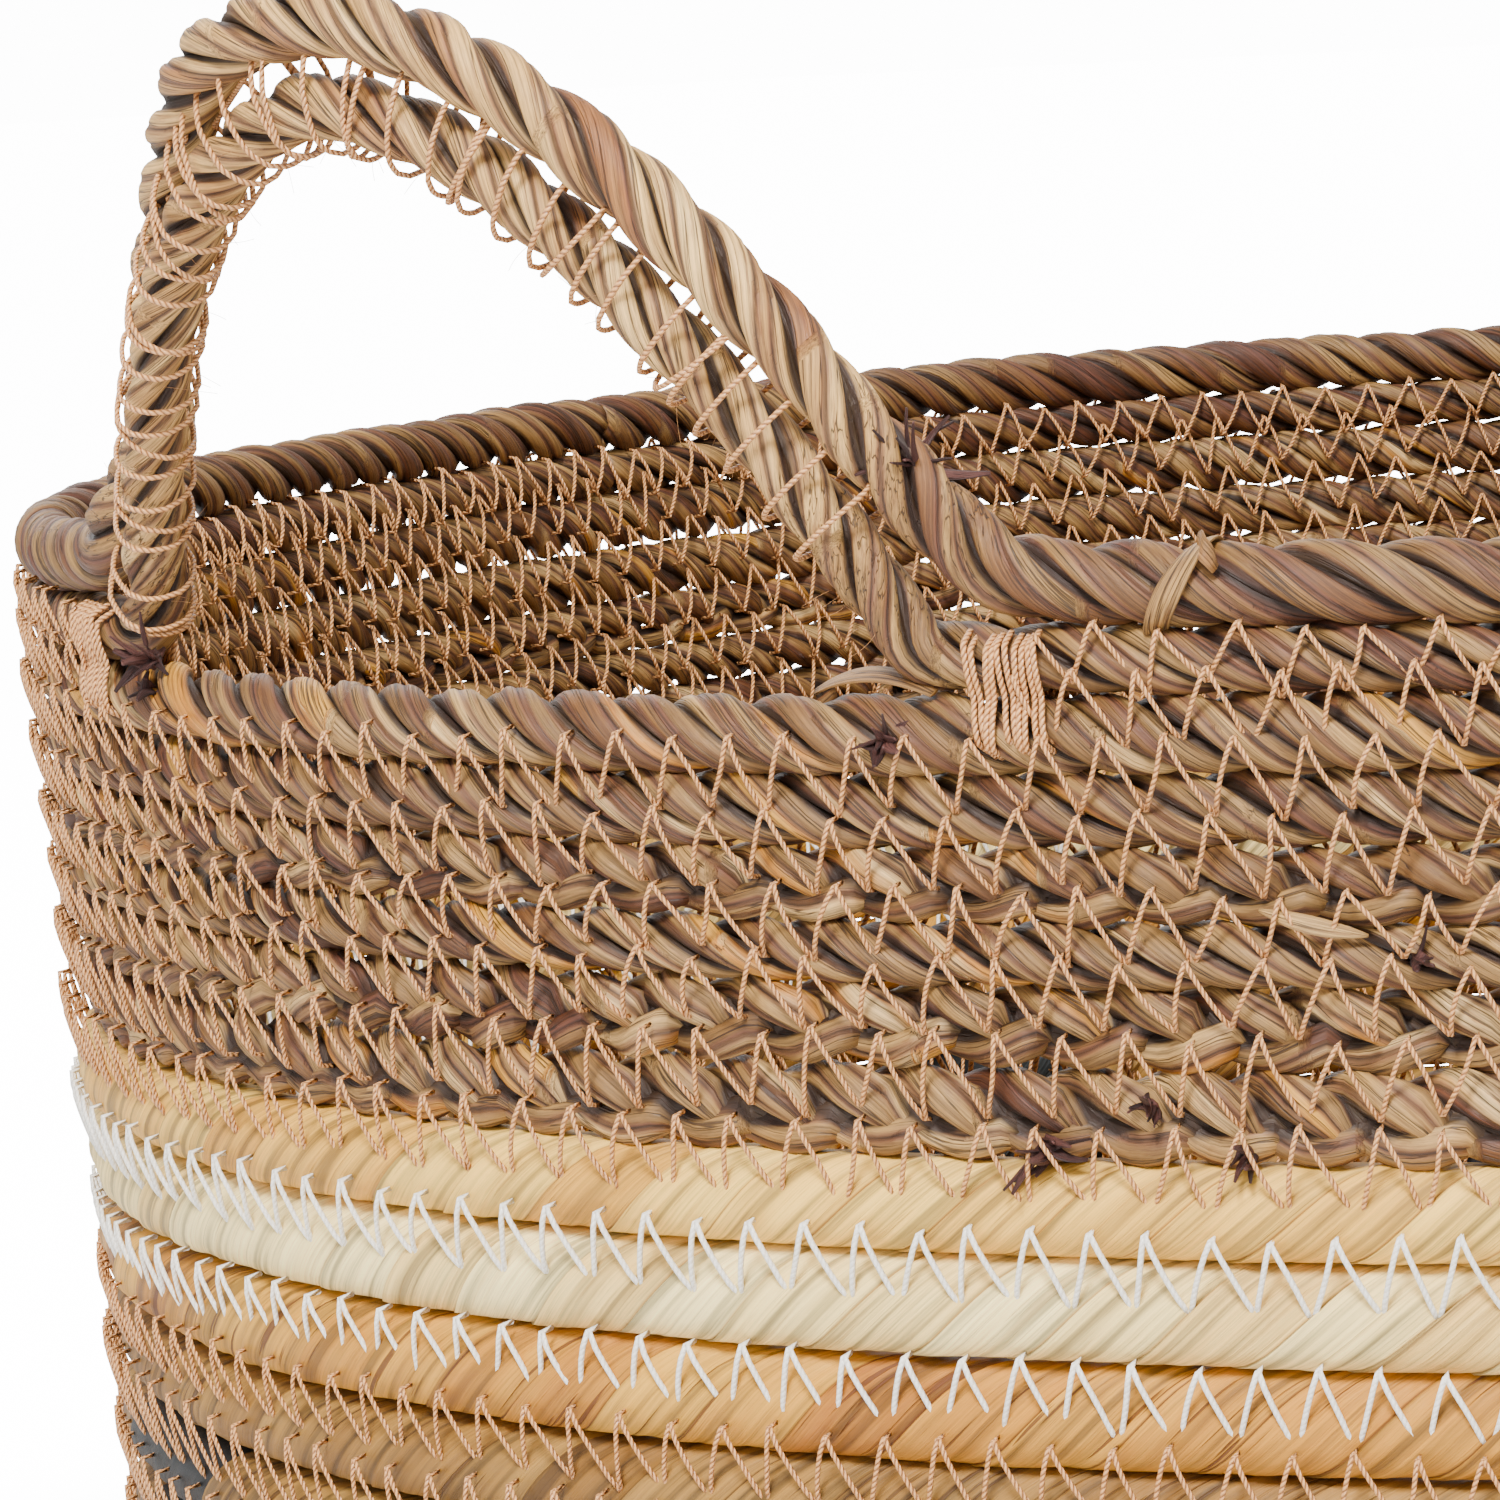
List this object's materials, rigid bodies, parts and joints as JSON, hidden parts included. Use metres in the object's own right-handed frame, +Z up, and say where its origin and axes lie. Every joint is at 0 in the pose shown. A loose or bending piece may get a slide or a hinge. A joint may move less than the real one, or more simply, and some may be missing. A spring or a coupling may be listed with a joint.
{
  "type": "woven market basket",
  "caption": "Oval coiled basket of seagrass rope and husk-wrapped coils sewn with zigzag thread, open at the top, with two rope loop handles rising from the rim and a flat coiled base.",
  "frame": {"origin": "on the floor, at the middle of the basket", "axes": "+Z up through the open top; the two loop handles stand on -X and +X; +Y is the back"},
  "size_m": [0.5342, 0.4711, 0.3244],
  "materials": {
    "seagrass": "dry plaited seagrass leaf, olive to brown with a few golden strands, dark cracks between leaves",
    "cream_husk": "cream-yellow husk strip wrapped on the slant, fine creases",
    "white_husk": "bleached husk strip wrapped on the slant",
    "orange_husk": "orange-tan husk strip wrapped on the slant",
    "tan_husk": "natural tan husk strip wrapped on the slant",
    "dark_husk": "husk strip dyed blue-black, worn lighter on the creases",
    "tan_thread": "twisted two-ply sewing thread, tan",
    "white_thread": "twisted two-ply sewing thread, off-white"
  },
  "bodies": {
    "basket": {"base_coil": "tan_husk", "course_01_seagrass_back": "seagrass", "course_01_seagrass_front": "seagrass", "course_02_seagrass_back": "seagrass", "course_02_seagrass_front": "seagrass", "course_03_seagrass": "seagrass", "course_04_seagrass": "seagrass", "course_05_seagrass": "seagrass", "course_06_seagrass": "seagrass", "course_07_seagrass": "seagrass", "course_08_seagrass": "seagrass", "course_09_cream_husk": "cream_husk", "course_10_white_husk": "white_husk", "course_11_orange_husk": "orange_husk", "course_12_tan_husk": "tan_husk", "course_13_banded_husk": "dark_husk", "course_14_banded_husk": "dark_husk", "course_15_banded_husk": "dark_husk", "course_16_banded_husk": "dark_husk", "course_17_banded_husk": "dark_husk", "course_18_tan_husk": "tan_husk", "course_19_tan_husk": "tan_husk", "course_20_tan_husk": "tan_husk", "course_21_tan_husk": "tan_husk", "course_22_tan_husk": "tan_husk", "handle_left_lashing_a": "tan_thread", "handle_left_lashing_b": "tan_thread", "handle_right_lashing_a": "tan_thread", "handle_right_lashing_b": "tan_thread", "rim_leaf_wrap": "seagrass", "thread_01_02_back": "tan_thread", "thread_01_02_front": "tan_thread", "thread_02_03_back": "tan_thread", "thread_02_03_front": "tan_thread", "thread_03_04": "tan_thread", "thread_04_05": "tan_thread", "thread_05_06": "tan_thread", "thread_06_07": "tan_thread", "thread_07_08": "tan_thread", "thread_08_09": "tan_thread", "thread_09_10": "white_thread", "thread_10_11": "white_thread", "thread_11_12": "tan_thread", "thread_12_13": "tan_thread", "thread_13_14": "tan_thread", "thread_14_15": "tan_thread", "thread_15_16": "tan_thread", "thread_16_17": "tan_thread", "thread_17_18": "tan_thread", "thread_18_19": "tan_thread", "thread_19_20": "tan_thread", "thread_20_21": "tan_thread", "thread_21_22": "tan_thread", "thread_22_base": "tan_thread"},
    "handle_left": {"handle_left_lower_rope": "seagrass", "handle_left_thread": "tan_thread", "handle_left_upper_rope": "seagrass"},
    "handle_right": {"handle_right_lower_rope": "seagrass", "handle_right_thread": "tan_thread", "handle_right_upper_rope": "seagrass"}
  },
  "joints": [
    {"name": "handle_left_flex", "type": "hinge", "parent": "basket", "child": "handle_left", "pos_m": [-0.22934, 0.00027, 0.24465], "axis": [-0.0286, 0.9996, 0], "range_deg": [-15, 30], "stiffness_Nm_per_rad": 0.6},
    {"name": "handle_right_flex", "type": "hinge", "parent": "basket", "child": "handle_right", "pos_m": [0.22934, -0.00027, 0.24465], "axis": [0.0286, -0.9996, 0], "range_deg": [-15, 30], "stiffness_Nm_per_rad": 0.6}
  ]
}
